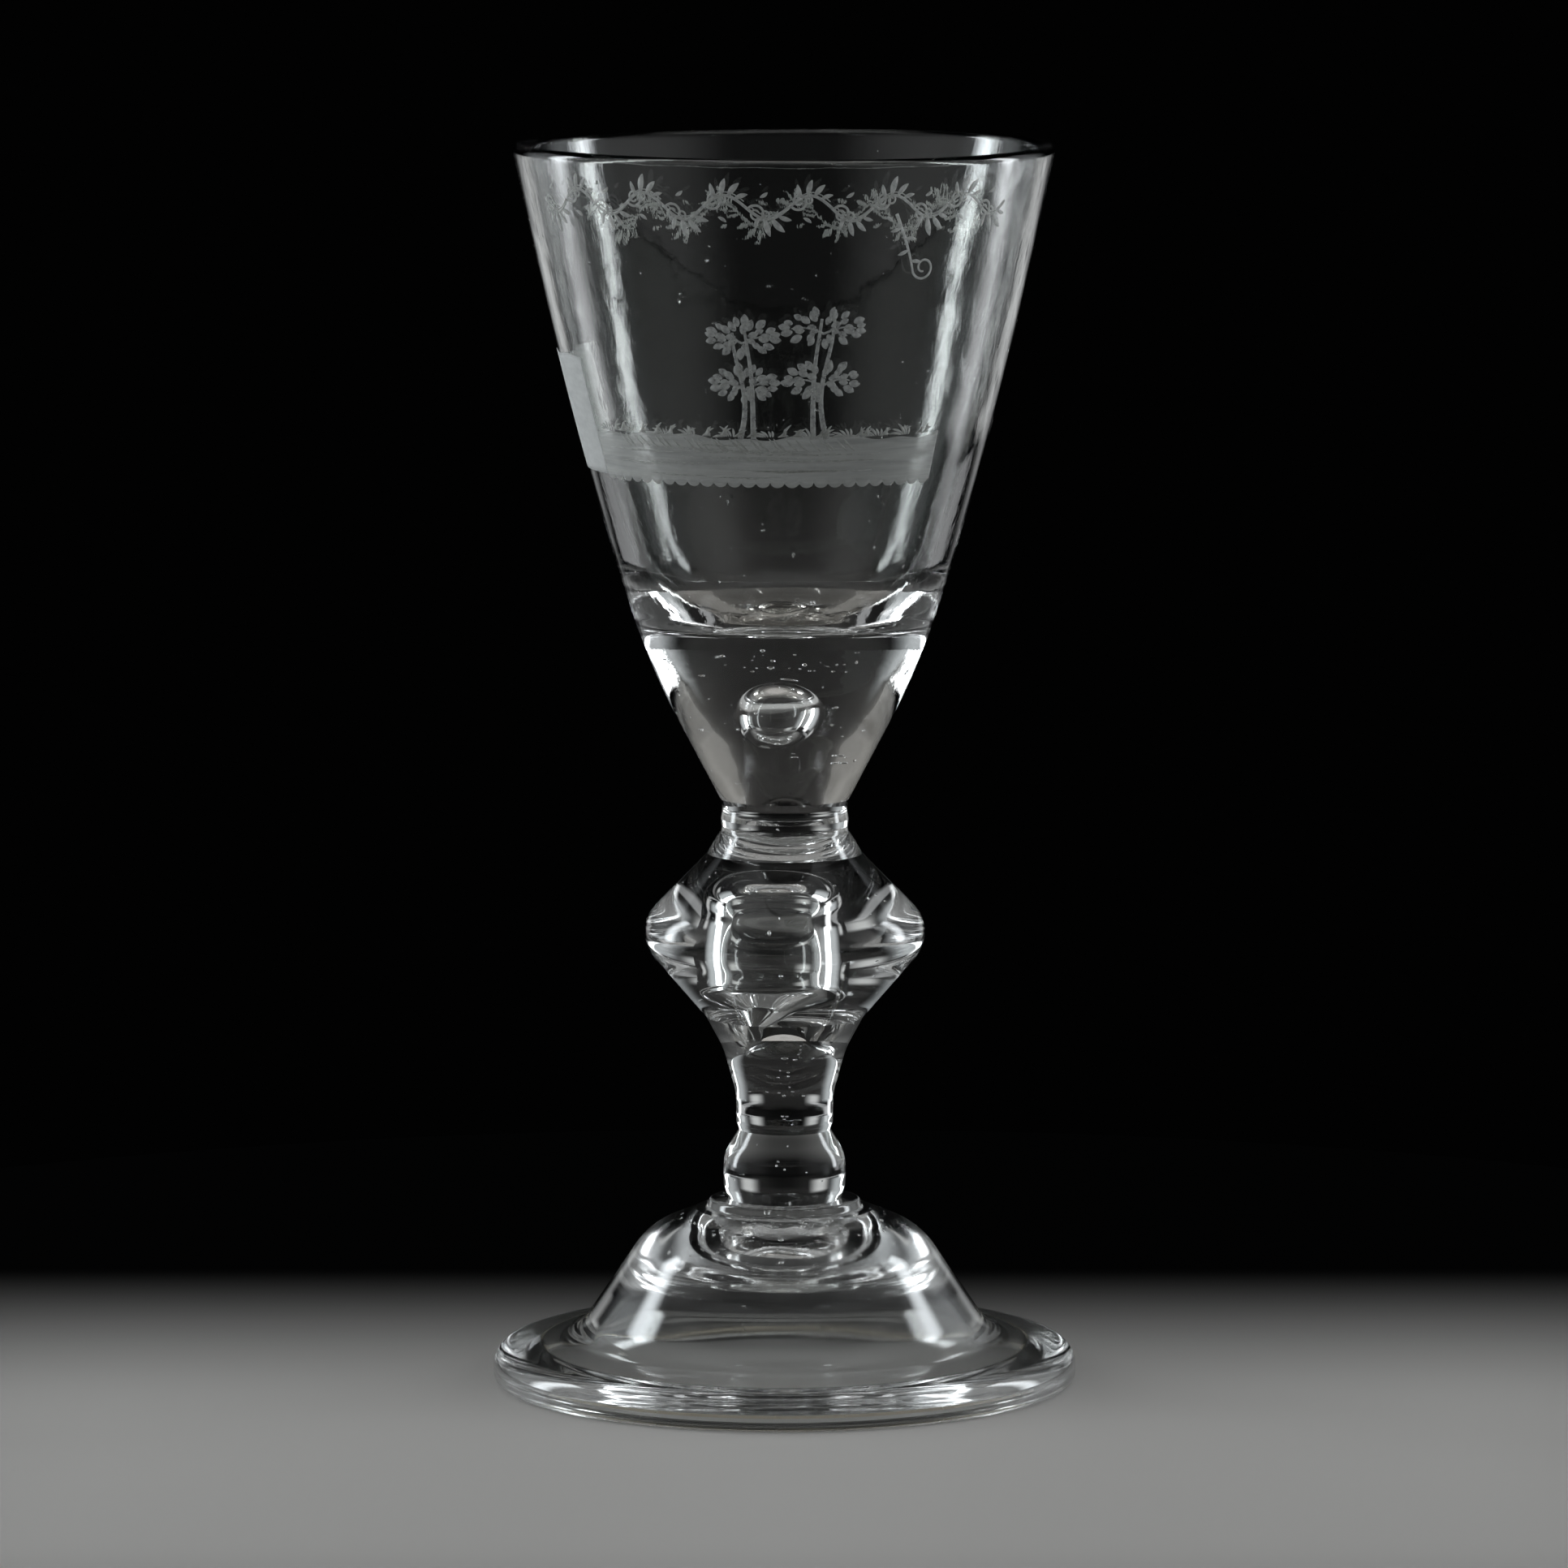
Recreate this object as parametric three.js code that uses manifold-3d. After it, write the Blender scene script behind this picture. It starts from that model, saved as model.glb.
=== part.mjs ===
// A heavy wine glass: a funnel bowl on a baluster stem with two air tears, over a domed and folded foot.
// Millimetres, +Z up. The origin is on the glass's axis, in the plane that the foot stands on.
// Every piece is one gather of hot glass, turned round the axis, and fused to the next at a flat joint.

import * as THREE from "three";
import { mergeVertices } from "three/addons/utils/BufferGeometryUtils.js";
import Module from "manifold-3d";

const wasm = await Module();
wasm.setup();

// How finely round shapes are cut
const sidesRound = 48;
const arcStep = Math.PI / 10;

// The turned-under layer of the foot's edge
const fold = {
  thickness: 2.3,
  width: 7.5,
  outerRadius: 41.1,
  innerRounding: 0.9,
  outerRounding: 1.3,
};

// The foot's upper layer, which rises into a dome
const foot = {
  edgeThickness: 2.6,
  edgeRounding: 2.9,
  rimTopRise: 2.1,
  domeFootRadius: 29.3,
  domeFootRounding: 7,
  shoulderRadius: 19.3,
  shoulderDrop: 2.8,
  shoulderRounding: 11,
  height: 22.3,
};

// The hollow under the dome
const hollow = {
  footInset: 0.7,
  footThickness: 3.2,
  footRounding: 5,
  crownInset: 1.3,
  crownThickness: 6,
  crownRounding: 14,
};

// The rough scar left where the finishing rod was broken off
const pontil = {
  radius: 9.4,
  thickness: 1.6,
  broadWave: 0.7,
  broadCount: 3,
  fineWave: 0.45,
  fineCount: 7,
  points: 42,
};

// The flat disc between the foot and the stem
const footCollar = {
  radius: 12.5,
  topRadius: 9,
  height: 1.5,
  edgeRounding: 0.5,
};

// The small knop at the stem's base
const basalKnop = {
  seatRadius: 8,
  bulgeRadius: 8.6,
  bulgeBottom: 2,
  bulgeTop: 6.2,
  waistRadius: 6.4,
  height: 9.8,
  bottomRounding: 3,
  topRounding: 6,
};

// The tapering stem under the main knop
const stem = {
  beadHeight: 1.1,
  shaftRadius: 6.8,
  shaftTop: 5,
  flareRadius: 8.7,
  flareHeight: 11.7,
  topRadius: 11.1,
  height: 16.1,
  shaftRounding: 10,
  flareRounding: 12,
};

// The main knop, a double cone with a rounded girdle
const knop = {
  girdleRadius: 21.6,
  girdleHeight: 12.2,
  girdleRounding: 5.3,
  topRadius: 10.9,
  height: 23.2,
};

// The large tear in the main knop, whose tail runs down to the stem
const knopTear = {
  radius: 7,
  bodyBottom: 7.6,
  topCover: 6.8,
  topRounding: 4.8,
  shoulderRounding: 2.2,
  tailRadius: 0.6,
  offset: -1.4,
  lean: 0.02,
};

// The neck between the knop and the bowl, in two short rolls
const neck = {
  flareRadius: 9.9,
  flareHeight: 1.8,
  waistRadius: 8.8,
  waistHeight: 3.4,
  topRadius: 9,
  height: 4.9,
  rounding: 1.5,
};
const upperCollar = {
  waistRadius: 8.75,
  waistHeight: 1.5,
  topRadius: 9.1,
  height: 2.9,
  rounding: 2,
};

// The solid base of the bowl
const bowlBase = {
  bellyRadius: 16.1,
  bellyHeight: 13.3,
  bellyRounding: 60,
  topRadius: 19.6,
  height: 20.7,
};

// The small tear in the bowl's base, with the pin prick that it grew from
const baseTear = {
  radius: 4,
  bottom: 10.2,
  topCover: 1.2,
  rounding: 3.8,
  pinRadius: 0.5,
  offset: -1.7,
  lean: 0.24,
};

// The blown bowl
const bowl = {
  height: 71.3,
  rimRadius: 38.1,
  rimThickness: 2.2,
  lipRounding: 1,
  bowRadius: 30.1,
  bowHeight: 32.6,
  bowRounding: 700,
};

// The bowl's inside
const cup = {
  floorThickness: 4.5,
  floorRadius: 15.2,
  floorRounding: 5,
  turnInRadius: 20,
  turnInHeight: 10.6,
  turnInRounding: 22,
  wallThickness: 2.8,
  bowRounding: 120,
};

// Where the turned-under layer ends inside
const foldInner = fold.outerRadius - fold.width;

// Heights of the joints, from the table up
const foldTop = fold.thickness;
const footTop = foldTop + foot.height;
const footCollarTop = footTop + footCollar.height;
const basalKnopTop = footCollarTop + basalKnop.height;
const stemTop = basalKnopTop + stem.height;
const knopTop = stemTop + knop.height;
const neckTop = knopTop + neck.height;
const upperCollarTop = neckTop + upperCollar.height;
const bowlBaseTop = upperCollarTop + bowlBase.height;
const rimTop = bowlBaseTop + bowl.height;

// How far a cutting shape runs past the face that it opens
const cutOverrun = 1;

// An outline from corners given as [radius, height, rounding], where a rounded corner becomes an arc.
// Two arcs that would meet on a short side share it.
function outline(corners) {
  const bends = corners.map(([x, y, rounding = 0], i) => {
    const corner = new THREE.Vector2(x, y);
    const toLast = new THREE.Vector2(...corners.at(i - 1)).sub(corner);
    const toNext = new THREE.Vector2(...corners[(i + 1) % corners.length]).sub(corner);
    const half = toLast.angleTo(toNext) / 2;
    return { corner, toLast, toNext, half, reach: rounding / Math.tan(half) };
  });
  return bends.flatMap(({ corner, toLast, toNext, half, reach }, i) => {
    if (!reach) return [corner];
    const lastShare = toLast.length() / (reach + bends.at(i - 1).reach);
    const nextShare = toNext.length() / (reach + bends[(i + 1) % bends.length].reach);
    const used = reach * Math.min(1, lastShare, nextShare);
    const start = toLast.clone().setLength(used).add(corner);
    const middle = toLast.clone().normalize().add(toNext.clone().normalize());
    const centre = middle.setLength(used / Math.cos(half)).add(corner);
    const turn = (Math.PI - 2 * half) * Math.sign(toNext.cross(toLast));
    const steps = Math.max(2, Math.ceil(Math.abs(turn) / arcStep));
    return Array.from({ length: steps + 1 }, (_, k) => start.clone().rotateAround(centre, (turn * k) / steps));
  });
}

// A solid turned round the Z axis from a closed half outline that starts and ends on the axis
function turned(corners) {
  return new THREE.LatheGeometry(outline(corners), sidesRound).rotateX(Math.PI / 2);
}

// A turned ring, whose outline closes on itself
function turnedRing(corners) {
  const points = outline(corners);
  return new THREE.LatheGeometry([...points, points[0].clone()], sidesRound).rotateX(Math.PI / 2);
}

function toSolid(geometry) {
  const bare = geometry.clone();
  bare.deleteAttribute("normal");
  bare.deleteAttribute("uv");
  const merged = mergeVertices(bare, 1e-4);
  const vertProperties = merged.attributes.position.array;
  const triVerts = new Uint32Array(merged.index.array);
  return new wasm.Manifold(new wasm.Mesh({ numProp: 3, vertProperties, triVerts }));
}

// One solid with another cut out of it
function cutOut(body, tool) {
  const { vertProperties, triVerts } = toSolid(body).subtract(toSolid(tool)).getMesh();
  const geometry = new THREE.BufferGeometry();
  geometry.setAttribute("position", new THREE.BufferAttribute(vertProperties, 3));
  geometry.setIndex(new THREE.BufferAttribute(triVerts, 1));
  geometry.computeVertexNormals();
  return geometry;
}

// The turned-under layer: it stands on the table on its flat underside
function foldShape() {
  return turnedRing([
    [foldInner, 0, fold.innerRounding],
    [fold.outerRadius, 0, fold.outerRounding],
    [fold.outerRadius, foldTop],
    [foldInner, foldTop],
  ]);
}

// The upper layer and dome, hollow from below
function footShape() {
  const rimTopEdge = foldTop + foot.edgeThickness;
  const rimTopInner = rimTopEdge + foot.rimTopRise;
  return turned([
    [0, footTop - hollow.crownThickness],
    [foot.shoulderRadius - hollow.crownInset, footTop - hollow.crownThickness, hollow.crownRounding],
    [foot.domeFootRadius - hollow.footInset, rimTopInner - hollow.footThickness, hollow.footRounding],
    [foldInner, foldTop],
    [fold.outerRadius, foldTop],
    [fold.outerRadius, rimTopEdge, foot.edgeRounding],
    [foot.domeFootRadius, rimTopInner, foot.domeFootRounding],
    [foot.shoulderRadius, footTop - foot.shoulderDrop, foot.shoulderRounding],
    [footCollar.radius, footTop],
    [0, footTop],
  ]);
}

// The scar hangs from the hollow's crown, with a wavy broken edge
function pontilShape() {
  const edge = new THREE.Shape(
    Array.from({ length: pontil.points }, (_, i) => {
      const angle = (2 * Math.PI * i) / pontil.points;
      const broad = pontil.broadWave * Math.sin(pontil.broadCount * angle);
      const fine = pontil.fineWave * Math.sin(pontil.fineCount * angle + 1);
      const reach = pontil.radius + broad + fine;
      return new THREE.Vector2(reach * Math.cos(angle), reach * Math.sin(angle));
    }),
  );
  const scar = new THREE.ExtrudeGeometry(edge, { depth: pontil.thickness, bevelEnabled: false });
  return scar.translate(0, 0, footTop - hollow.crownThickness - pontil.thickness);
}

function footCollarShape() {
  return turned([
    [0, footTop],
    [footCollar.radius, footTop],
    [footCollar.topRadius, footCollarTop, footCollar.edgeRounding],
    [0, footCollarTop],
  ]);
}

function basalKnopShape() {
  return turned([
    [0, footCollarTop],
    [basalKnop.seatRadius, footCollarTop],
    [basalKnop.bulgeRadius, footCollarTop + basalKnop.bulgeBottom, basalKnop.bottomRounding],
    [basalKnop.bulgeRadius, footCollarTop + basalKnop.bulgeTop, basalKnop.topRounding],
    [basalKnop.waistRadius, basalKnopTop],
    [0, basalKnopTop],
  ]);
}

function stemShape() {
  return turned([
    [0, basalKnopTop],
    [basalKnop.waistRadius, basalKnopTop],
    [stem.shaftRadius, basalKnopTop + stem.beadHeight],
    [stem.shaftRadius, basalKnopTop + stem.shaftTop, stem.shaftRounding],
    [stem.flareRadius, basalKnopTop + stem.flareHeight, stem.flareRounding],
    [stem.topRadius, stemTop],
    [0, stemTop],
  ]);
}

// The main knop, with its tear cut in and open at the stem through the tail
function knopShape() {
  const body = turned([
    [0, stemTop],
    [stem.topRadius, stemTop],
    [knop.girdleRadius, stemTop + knop.girdleHeight, knop.girdleRounding],
    [knop.topRadius, knopTop],
    [0, knopTop],
  ]);
  const tearTop = knop.height - knopTear.topCover;
  const tear = turned([
    [0, -cutOverrun],
    [knopTear.tailRadius, -cutOverrun],
    [knopTear.tailRadius, knopTear.tailRadius],
    [knopTear.radius, knopTear.bodyBottom, knopTear.shoulderRounding],
    [knopTear.radius, tearTop, knopTear.topRounding],
    [0, tearTop],
  ]);
  return cutOut(body, tear.rotateY(knopTear.lean).translate(knopTear.offset, 0, stemTop));
}

function neckShape() {
  return turned([
    [0, knopTop],
    [knop.topRadius, knopTop],
    [neck.flareRadius, knopTop + neck.flareHeight, neck.rounding],
    [neck.waistRadius, knopTop + neck.waistHeight, neck.rounding],
    [neck.topRadius, neckTop],
    [0, neckTop],
  ]);
}

function upperCollarShape() {
  return turned([
    [0, neckTop],
    [neck.topRadius, neckTop],
    [upperCollar.waistRadius, neckTop + upperCollar.waistHeight, upperCollar.rounding],
    [upperCollar.topRadius, upperCollarTop],
    [0, upperCollarTop],
  ]);
}

// The solid base, with its tear open at the bowl through the pin prick
function bowlBaseShape() {
  const body = turned([
    [0, upperCollarTop],
    [upperCollar.topRadius, upperCollarTop],
    [bowlBase.bellyRadius, upperCollarTop + bowlBase.bellyHeight, bowlBase.bellyRounding],
    [bowlBase.topRadius, bowlBaseTop],
    [0, bowlBaseTop],
  ]);
  const tearHeight = bowlBase.height - baseTear.bottom - baseTear.topCover;
  const pinTop = tearHeight + baseTear.topCover + cutOverrun;
  const tear = turned([
    [0, 0],
    [baseTear.radius, 0, baseTear.rounding],
    [baseTear.radius, tearHeight, baseTear.rounding],
    [baseTear.pinRadius, tearHeight],
    [baseTear.pinRadius, pinTop],
    [0, pinTop],
  ]);
  tear.rotateY(baseTear.lean).translate(baseTear.offset, 0, upperCollarTop + baseTear.bottom);
  return cutOut(body, tear);
}

// The bowl, open at the rounded rim
function bowlShape() {
  const rimInner = bowl.rimRadius - bowl.rimThickness;
  const cupFloor = bowlBaseTop + cup.floorThickness;
  return turned([
    [0, bowlBaseTop],
    [bowlBase.topRadius, bowlBaseTop],
    [bowl.bowRadius, bowlBaseTop + bowl.bowHeight, bowl.bowRounding],
    [bowl.rimRadius, rimTop, bowl.lipRounding],
    [rimInner, rimTop, bowl.lipRounding],
    [bowl.bowRadius - cup.wallThickness, bowlBaseTop + bowl.bowHeight, cup.bowRounding],
    [cup.turnInRadius, bowlBaseTop + cup.turnInHeight, cup.turnInRounding],
    [cup.floorRadius, cupFloor, cup.floorRounding],
    [0, cupFloor],
  ]);
}

// Clear lead glass, a shade deeper where the gathers are thick, and rougher at the broken scar
function glass(color, roughness = 0.04) {
  return new THREE.MeshStandardMaterial({
    color,
    roughness,
    metalness: 0,
    transparent: true,
    opacity: 0.35,
  });
}

const pieces = [
  ["foot_fold", foldShape, glass(0xdfe3df)],
  ["foot", footShape, glass(0xe6e9e6)],
  ["pontil_mark", pontilShape, glass(0xd3d6d2, 0.5)],
  ["foot_collar", footCollarShape, glass(0xdce0dc)],
  ["basal_knop", basalKnopShape, glass(0xd9dcda)],
  ["stem", stemShape, glass(0xd9dcda)],
  ["knop", knopShape, glass(0xd6dad8)],
  ["neck", neckShape, glass(0xdadddb)],
  ["upper_collar", upperCollarShape, glass(0xdce0dc)],
  ["bowl_base", bowlBaseShape, glass(0xd8dbd8)],
  ["bowl", bowlShape, glass(0xe9ecea)],
];

const wineGlass = new THREE.Group();
for (const [name, shape, material] of pieces) {
  const mesh = new THREE.Mesh(shape(), material);
  mesh.name = name;
  wineGlass.add(mesh);
}

export default wineGlass;
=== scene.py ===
import bpy
import bmesh
import random
from math import acos, atan2, ceil, copysign, cos, degrees, hypot, pi, radians, sin, sqrt, tan
import numpy as np
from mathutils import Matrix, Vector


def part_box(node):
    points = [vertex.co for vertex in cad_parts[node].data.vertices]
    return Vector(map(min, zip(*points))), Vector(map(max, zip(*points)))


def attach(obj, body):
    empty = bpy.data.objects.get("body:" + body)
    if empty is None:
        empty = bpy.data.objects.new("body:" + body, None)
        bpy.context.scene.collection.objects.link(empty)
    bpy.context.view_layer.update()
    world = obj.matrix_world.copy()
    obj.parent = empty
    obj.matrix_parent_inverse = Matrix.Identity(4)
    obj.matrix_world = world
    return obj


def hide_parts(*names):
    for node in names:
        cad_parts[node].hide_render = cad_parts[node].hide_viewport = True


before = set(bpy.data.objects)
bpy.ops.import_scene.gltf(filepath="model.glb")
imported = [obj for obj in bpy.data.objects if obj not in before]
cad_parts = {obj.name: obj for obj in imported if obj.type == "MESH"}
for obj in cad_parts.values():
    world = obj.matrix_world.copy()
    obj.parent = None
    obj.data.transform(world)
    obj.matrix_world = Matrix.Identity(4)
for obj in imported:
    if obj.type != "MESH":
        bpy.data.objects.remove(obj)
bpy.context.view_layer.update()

# Lengths in the dictionaries are millimetres and angles are degrees.
# A corner is (radius, height above the piece's underside, rounding).
mm = 0.001
facesRound = 240
ringGap = 0.5                 # between rings along an outline
arcGap = radians(5)
sameSpot = 0.005
sameLevel = 1e-4
onAxis = 1e-6                 # a smaller radius is a point on the axis
seedDice = random.Random(11)  # for the seed bubbles
drawDice = random.Random(23)  # for the engraver's hand

scene = bpy.context.scene
scene.view_settings.view_transform = "Standard"
scene.cycles.max_bounces = 32
scene.cycles.transmission_bounces = 32
scene.cycles.glossy_bounces = 16
scene.cycles.transparent_max_bounces = 64
scene.cycles.caustics_refractive = False


# Camera at the photograph's angle

cameraSet = {"lens": 219.4, "sensor": 36, "behind": 1334, "height": 253, "tilt": 7.18}


def placeCamera():
    view = cameraSet
    data = bpy.data.cameras.new("photoCamera")
    data.lens = view["lens"]
    data.sensor_width = view["sensor"]
    data.clip_start = 0.01
    camera = bpy.data.objects.new("photoCamera", data)
    camera.location = (0, -view["behind"] * mm, view["height"] * mm)
    camera.rotation_euler = (radians(90 - view["tilt"]), 0, 0)
    scene.collection.objects.link(camera)
    scene.camera = camera


placeCamera()


# Heights of the joints come from the frame

def nodeBottom(name):
    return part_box(name)[0].z / mm


def nodeTop(name):
    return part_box(name)[1].z / mm


def nodeHeight(name):
    return nodeTop(name) - nodeBottom(name)


# Outlines

def roundOff(corners):
    # Two arcs that would meet on a short side share it
    spots = [np.array(corner[:2], float) for corner in corners]
    bends = []
    for i, corner in enumerate(corners):
        back, ahead = spots[i - 1] - spots[i], spots[(i + 1) % len(spots)] - spots[i]
        backLength, aheadLength = np.linalg.norm(back), np.linalg.norm(ahead)
        back, ahead = back / backLength, ahead / aheadLength
        half = acos(np.clip(back @ ahead, -1, 1)) / 2
        reach = corner[2] / tan(half) if len(corner) > 2 else 0
        bends.append((back, ahead, backLength, aheadLength, half, reach))
    points = []
    for i, (back, ahead, backLength, aheadLength, half, reach) in enumerate(bends):
        if not reach:
            points.append(spots[i])
            continue
        backShare = backLength / (reach + bends[i - 1][5])
        aheadShare = aheadLength / (reach + bends[(i + 1) % len(bends)][5])
        used = reach * min(1, backShare, aheadShare)
        middle = (back + ahead) / np.linalg.norm(back + ahead)
        centre = spots[i] + middle * used / cos(half)
        start = spots[i] + back * used - centre
        turn = (pi - 2 * half) * np.sign(ahead[0] * back[1] - ahead[1] * back[0])
        length = abs(turn) * used * tan(half)
        steps = max(3, ceil(abs(turn) / arcGap), ceil(length / ringGap))
        for k in range(steps + 1):
            c, s = cos(turn * k / steps), sin(turn * k / steps)
            points.append(centre + np.array([start[0] * c - start[1] * s, start[0] * s + start[1] * c]))
    return points


def fillIn(points, gap=ringGap):
    # Splits long straight stretches, so that the surface can ripple, and drops points that coincide
    filled = []
    for a, b in zip(points, points[1:]):
        length = np.linalg.norm(b - a)
        if length < sameSpot:
            continue
        count = ceil(length / gap)
        filled += [a + (b - a) * k / count for k in range(count)]
    return np.array(filled + [points[-1]])


def halfOutline(corners, lift=0):
    return fillIn([p + np.array([0, lift]) for p in roundOff(corners)])


# Hand work: every point of the glass goes through the same small unevenness,
# so pieces that share a ring still meet

handWork = {
    "fullAt": 20,                     # distance from the axis where the next two have their full size
    "oval": (0.075, 34, 0.8),         # size, height in which it turns, start
    "threeSided": (0.04, 27, 2),
    "drift": (0.12, 47, 0.6),         # sideways wander: size, height of a swing, share backwards
    "rimWave": (0.16, 110, 65, 0.4),  # size, height where it begins, height in which it grows, start
    "rings": ((7.1, 0.009), (2.9, 0.003), (1.3, 0.0006)),    # tool marks round the axis: spacing, height
    "ringsOut": (0, 4),               # they begin at this distance, and grow in this one
    "ringsUp": (9, 9),                # and so with the height
    "ringsFade": 0.8,                 # share of them lost in the bowl
    "ringLean": 0.3, "ringShift": 0.61,
    "cords": ((19, 0.030), (47, 0.012), (113, 0.003)),       # streaks down the bowl: count round, height
    "cordsUp": (104, 14),             # height where they begin, height in which they grow
    "cordSway": 0.05, "cordSwing": 23, "cordTurn": 0.35,     # sway, its height, turn with depth in the wall
    "bowlLine": (107, 20.7, 0.322),   # height, outside radius there, and its slope
}
wavesTable = np.random.default_rng(5).uniform(-1, 1, 997)
waveRows = {"open": 131, "closed": 89}      # places in the table from one row of waves to the next


def waver(t, row=0, repeat=None):
    # Smooth random wave with one swing in about each unit of t, closed on itself where it repeats
    cell = np.floor(t).astype(int)
    part = t - cell
    part = part * part * (3 - 2 * part)
    if repeat:
        ends = [(cell + step) % repeat + waveRows["closed"] * row for step in (0, 1)]
    else:
        ends = [cell + step + waveRows["open"] * row for step in (0, 1)]
    first, second = [wavesTable[end % len(wavesTable)] for end in ends]
    return first + (second - first) * part


def growing(value, start, length):
    # From 0 at the start to 1 a length further on
    return np.clip((value - start) / length, 0, 1)


def handMade(points):
    hand = handWork
    x, y, z = np.asarray(points, float).T
    radius, angle = np.hypot(x, y), np.arctan2(y, x)
    share = radius / hand["fullAt"]
    size, turnsIn, start = hand["oval"]
    push = size * share * np.sin(2 * angle + z / turnsIn + start)
    size, turnsIn, start = hand["threeSided"]
    push = push + size * share * np.sin(3 * angle - z / turnsIn + start)
    bowlShare = growing(z, *hand["cordsUp"])
    upright = growing(radius, *hand["ringsOut"]) * growing(z, *hand["ringsUp"])
    upright = upright * (1 - hand["ringsFade"] * bowlShare)
    for row, (spacing, size) in enumerate(hand["rings"]):
        lean = hand["ringLean"] * np.sin(angle + row)
        push = push + upright * size * waver((z + lean) / spacing + radius * hand["ringShift"], row)
    height, outside, slope = hand["bowlLine"]
    depth = outside + (z - height) * slope - radius
    for row, (count, size) in enumerate(hand["cords"]):
        sway = hand["cordSway"] * np.sin(z / hand["cordSwing"] + row) + depth * hand["cordTurn"]
        push = push + bowlShare * size * waver((angle + sway) / (2 * pi) % 1 * count, row, count)
    size, swing, toBack = hand["drift"]
    drift = size * np.sin(z / swing)
    size, begins, growsIn, start = hand["rimWave"]
    wave = size * growing(z, begins, growsIn) ** 2 * np.sin(2 * angle + start)
    grown = (radius + push) / np.maximum(radius, 1e-9)
    return np.stack([x * grown + drift, y * grown + toBack * drift, z + wave], 1)


# Meshes

def newBody():
    return {"points": [], "faces": [], "slots": []}


def addShell(body, points, faces, slots, inward=False):
    start = len(body["points"])
    body["points"] += [tuple(p) for p in points]
    for face, slot in zip(faces, slots):
        face = [start + i for i in face]
        body["faces"].append(face[::-1] if inward else face)
        body["slots"].append(slot)


def turnedShell(outline, joints=(), closed=False, reshape=None, count=facesRound):
    # joints are (height, smallest radius, largest radius) of flat faces where another piece is fused on
    angles = np.linspace(0, 2 * pi, count, endpoint=False)
    rings = list(outline)
    poles = [radius < onAxis and not closed for radius, _ in rings]
    points, starts = [], []
    for (radius, height), pole in zip(rings, poles):
        starts.append(len(points))
        if pole:
            points.append((0, 0, height))
        else:
            points += [(radius * cos(a), radius * sin(a), height) for a in angles]
    points = np.array(points)
    if reshape:
        points = reshape(points)
    faces, slots = [], []
    pairs = list(zip(range(len(rings)), range(1, len(rings))))
    if closed:
        pairs.append((len(rings) - 1, 0))
    for low, high in pairs:
        if poles[low] and poles[high]:
            continue
        slot = 0
        for level, inner, outer in joints:
            if all(abs(height - level) < sameLevel and inner - sameLevel <= radius <= outer + sameLevel
                   for radius, height in (rings[low], rings[high])):
                slot = 1
        a, b = starts[low], starts[high]
        for j in range(count):
            k = (j + 1) % count
            if poles[low]:
                faces.append((a, b + k, b + j))
            elif poles[high]:
                faces.append((a + j, a + k, b))
            else:
                faces.append((a + j, a + k, b + k, b + j))
            slots.append(slot)
    return points, faces, slots


def addBubble(body, centre, radii, turn=0, tilt=0, count=14):
    # An air bubble: its faces look into the air, as the skin of a hole in the glass does
    rows = count // 2
    ups = [pi * (i / rows - 0.5) for i in range(1, rows)]
    outline = [(0, -1), *((cos(up), sin(up)) for up in ups), (0, 1)]
    p, faces, slots = turnedShell(outline, count=count)
    p = p * np.array(radii)
    c, s = cos(tilt), sin(tilt)
    p = p @ np.array([[c, 0, -s], [0, 1, 0], [s, 0, c]])
    c, s = cos(turn), sin(turn)
    p = p @ np.array([[c, s, 0], [-s, c, 0], [0, 0, 1]])
    addShell(body, p + np.array(centre), faces, slots, inward=True)


def finishPiece(name, body, materials, node=None, uneven=True):
    points = np.array(body["points"])
    if uneven:
        points = handMade(points)
    mesh = bpy.data.meshes.new(name)
    mesh.from_pydata((points * mm).tolist(), [], body["faces"])
    for material in materials:
        mesh.materials.append(material)
    mesh.polygons.foreach_set("material_index", body["slots"])
    mesh.polygons.foreach_set("use_smooth", [True] * len(mesh.polygons))
    work = bmesh.new()
    work.from_mesh(mesh)
    for edge in work.edges:
        used = {face.material_index for face in edge.link_faces}
        if len(used) == 2 and 1 in used:
            edge.smooth = False
    work.to_mesh(mesh)
    work.free()
    piece = bpy.data.objects.new(name, mesh)
    scene.collection.objects.link(piece)
    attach(piece, "root")
    if node:
        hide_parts(node)
    return piece


# Materials

def newNode(tree, kind):
    return tree.nodes.new("ShaderNode" + kind)


def nodeLink(tree, a, b):
    tree.links.new(a, b)


def addNoise(tree, place, scale, stretch=(1, 1, 1), detail=3):
    mapping = newNode(tree, "Mapping")
    mapping.inputs["Scale"].default_value = stretch
    nodeLink(tree, place, mapping.inputs["Vector"])
    noise = newNode(tree, "TexNoise")
    noise.inputs["Scale"].default_value = scale
    noise.inputs["Detail"].default_value = detail
    nodeLink(tree, mapping.outputs["Vector"], noise.inputs["Vector"])
    return noise.outputs["Fac"]


def addRange(tree, value, fromLow, fromHigh, toLow, toHigh, soft=False):
    ranged = newNode(tree, "MapRange")
    if soft:
        ranged.interpolation_type = "SMOOTHSTEP"
    nodeLink(tree, value, ranged.inputs["Value"])
    numbers = (fromLow, fromHigh, toLow, toHigh)
    for socket, number in zip(("From Min", "From Max", "To Min", "To Max"), numbers):
        ranged.inputs[socket].default_value = number
    return ranged.outputs["Result"]


def setOrLink(tree, value, socket):
    if isinstance(value, (int, float)):
        socket.default_value = value
    else:
        nodeLink(tree, value, socket)


def addMath(tree, operation, a, b=0):
    step = newNode(tree, "Math")
    step.operation = operation
    setOrLink(tree, a, step.inputs[0])
    setOrLink(tree, b, step.inputs[1])
    return step.outputs["Value"]


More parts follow.
